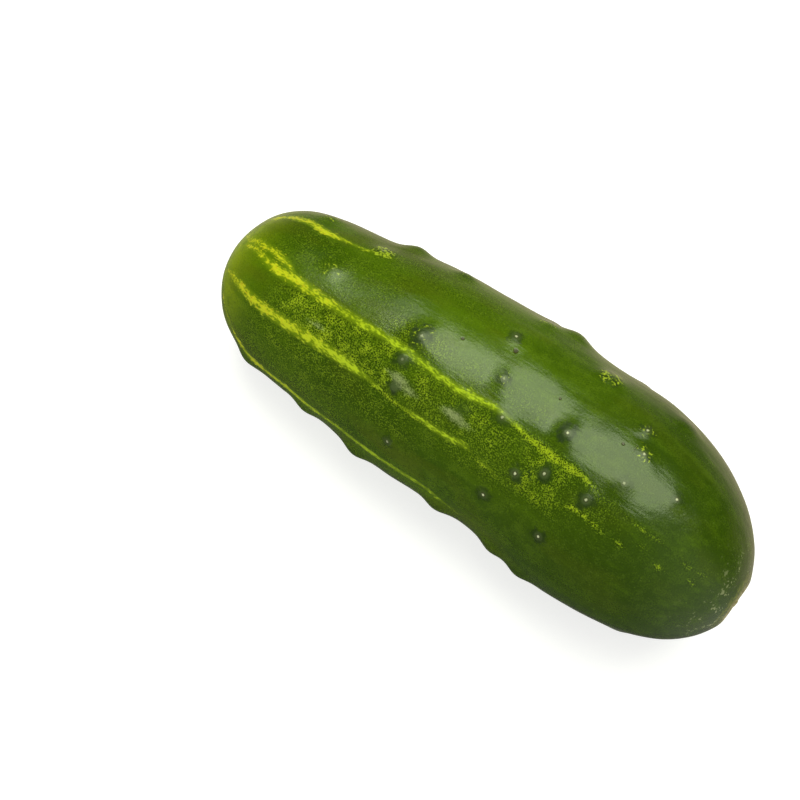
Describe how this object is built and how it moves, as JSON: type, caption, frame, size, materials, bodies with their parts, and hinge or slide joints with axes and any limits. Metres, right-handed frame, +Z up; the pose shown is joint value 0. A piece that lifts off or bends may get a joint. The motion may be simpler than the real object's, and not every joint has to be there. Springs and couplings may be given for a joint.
{
  "type": "cucumber",
  "caption": "Whole warty pickling cucumber, dark green with yellow-green stripes, lying on its side as picked.",
  "frame": {"origin": "centre of the footprint of the bounding box, on the surface that the fruit rests on", "axes": "+X along the fruit from the blossom end to the stem end, +Z up, +Y across it"},
  "size_m": [0.124, 0.046, 0.0458],
  "materials": {
    "cucumber_skin": "waxy dark green skin, satin to glossy, paler yellow-green at the blossom end, with thin yellow stripes and fine pale specks"
  },
  "bodies": {
    "root": {"cucumber": "cucumber_skin"}
  },
  "joints": []
}
